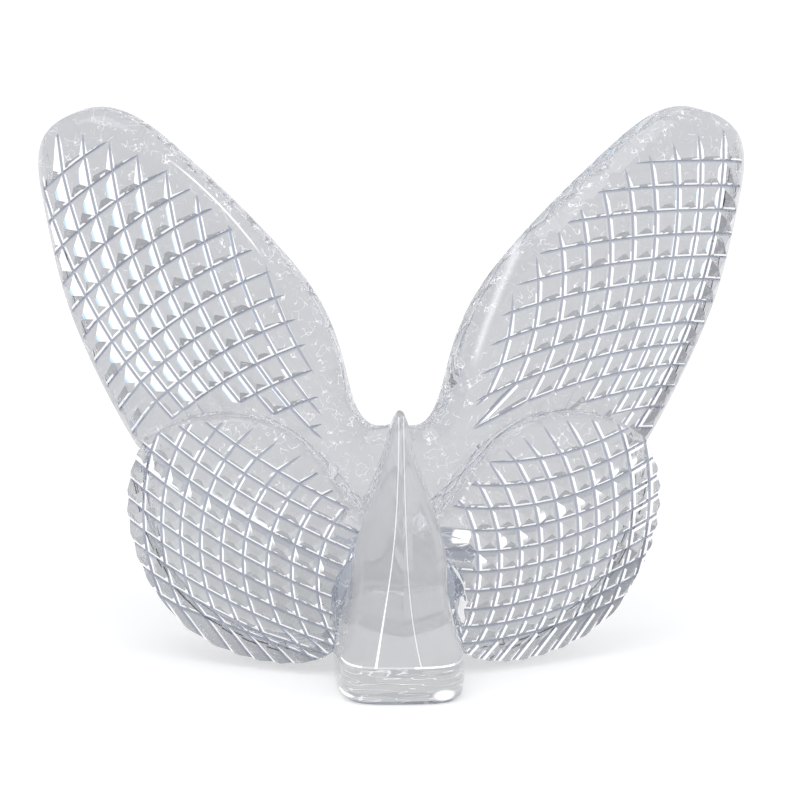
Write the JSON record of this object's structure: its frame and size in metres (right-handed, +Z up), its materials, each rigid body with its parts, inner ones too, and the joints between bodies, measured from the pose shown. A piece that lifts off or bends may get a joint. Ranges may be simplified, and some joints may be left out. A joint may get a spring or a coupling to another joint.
{
  "type": "butterfly ornament",
  "caption": "Clear solid glass butterfly with spread, swept-back wings covered in diamond-point cuts, standing on the flat foot of its tapered body.",
  "frame": {"origin": "centre of the flat foot, on the table", "axes": "+X along the wing span towards the wing called right, +Y towards the back, where the wings sweep, +Z up; the cut faces look along -Y"},
  "size_m": [0.0646, 0.0268, 0.0491],
  "materials": {
    "crystal": "clear, polished, with crisp pressed cuts on the wing fronts"
  },
  "bodies": {
    "root": {"body": "crystal", "forewing_left": "crystal", "forewing_right": "crystal", "hindwing_left": "crystal", "hindwing_right": "crystal"}
  },
  "joints": []
}
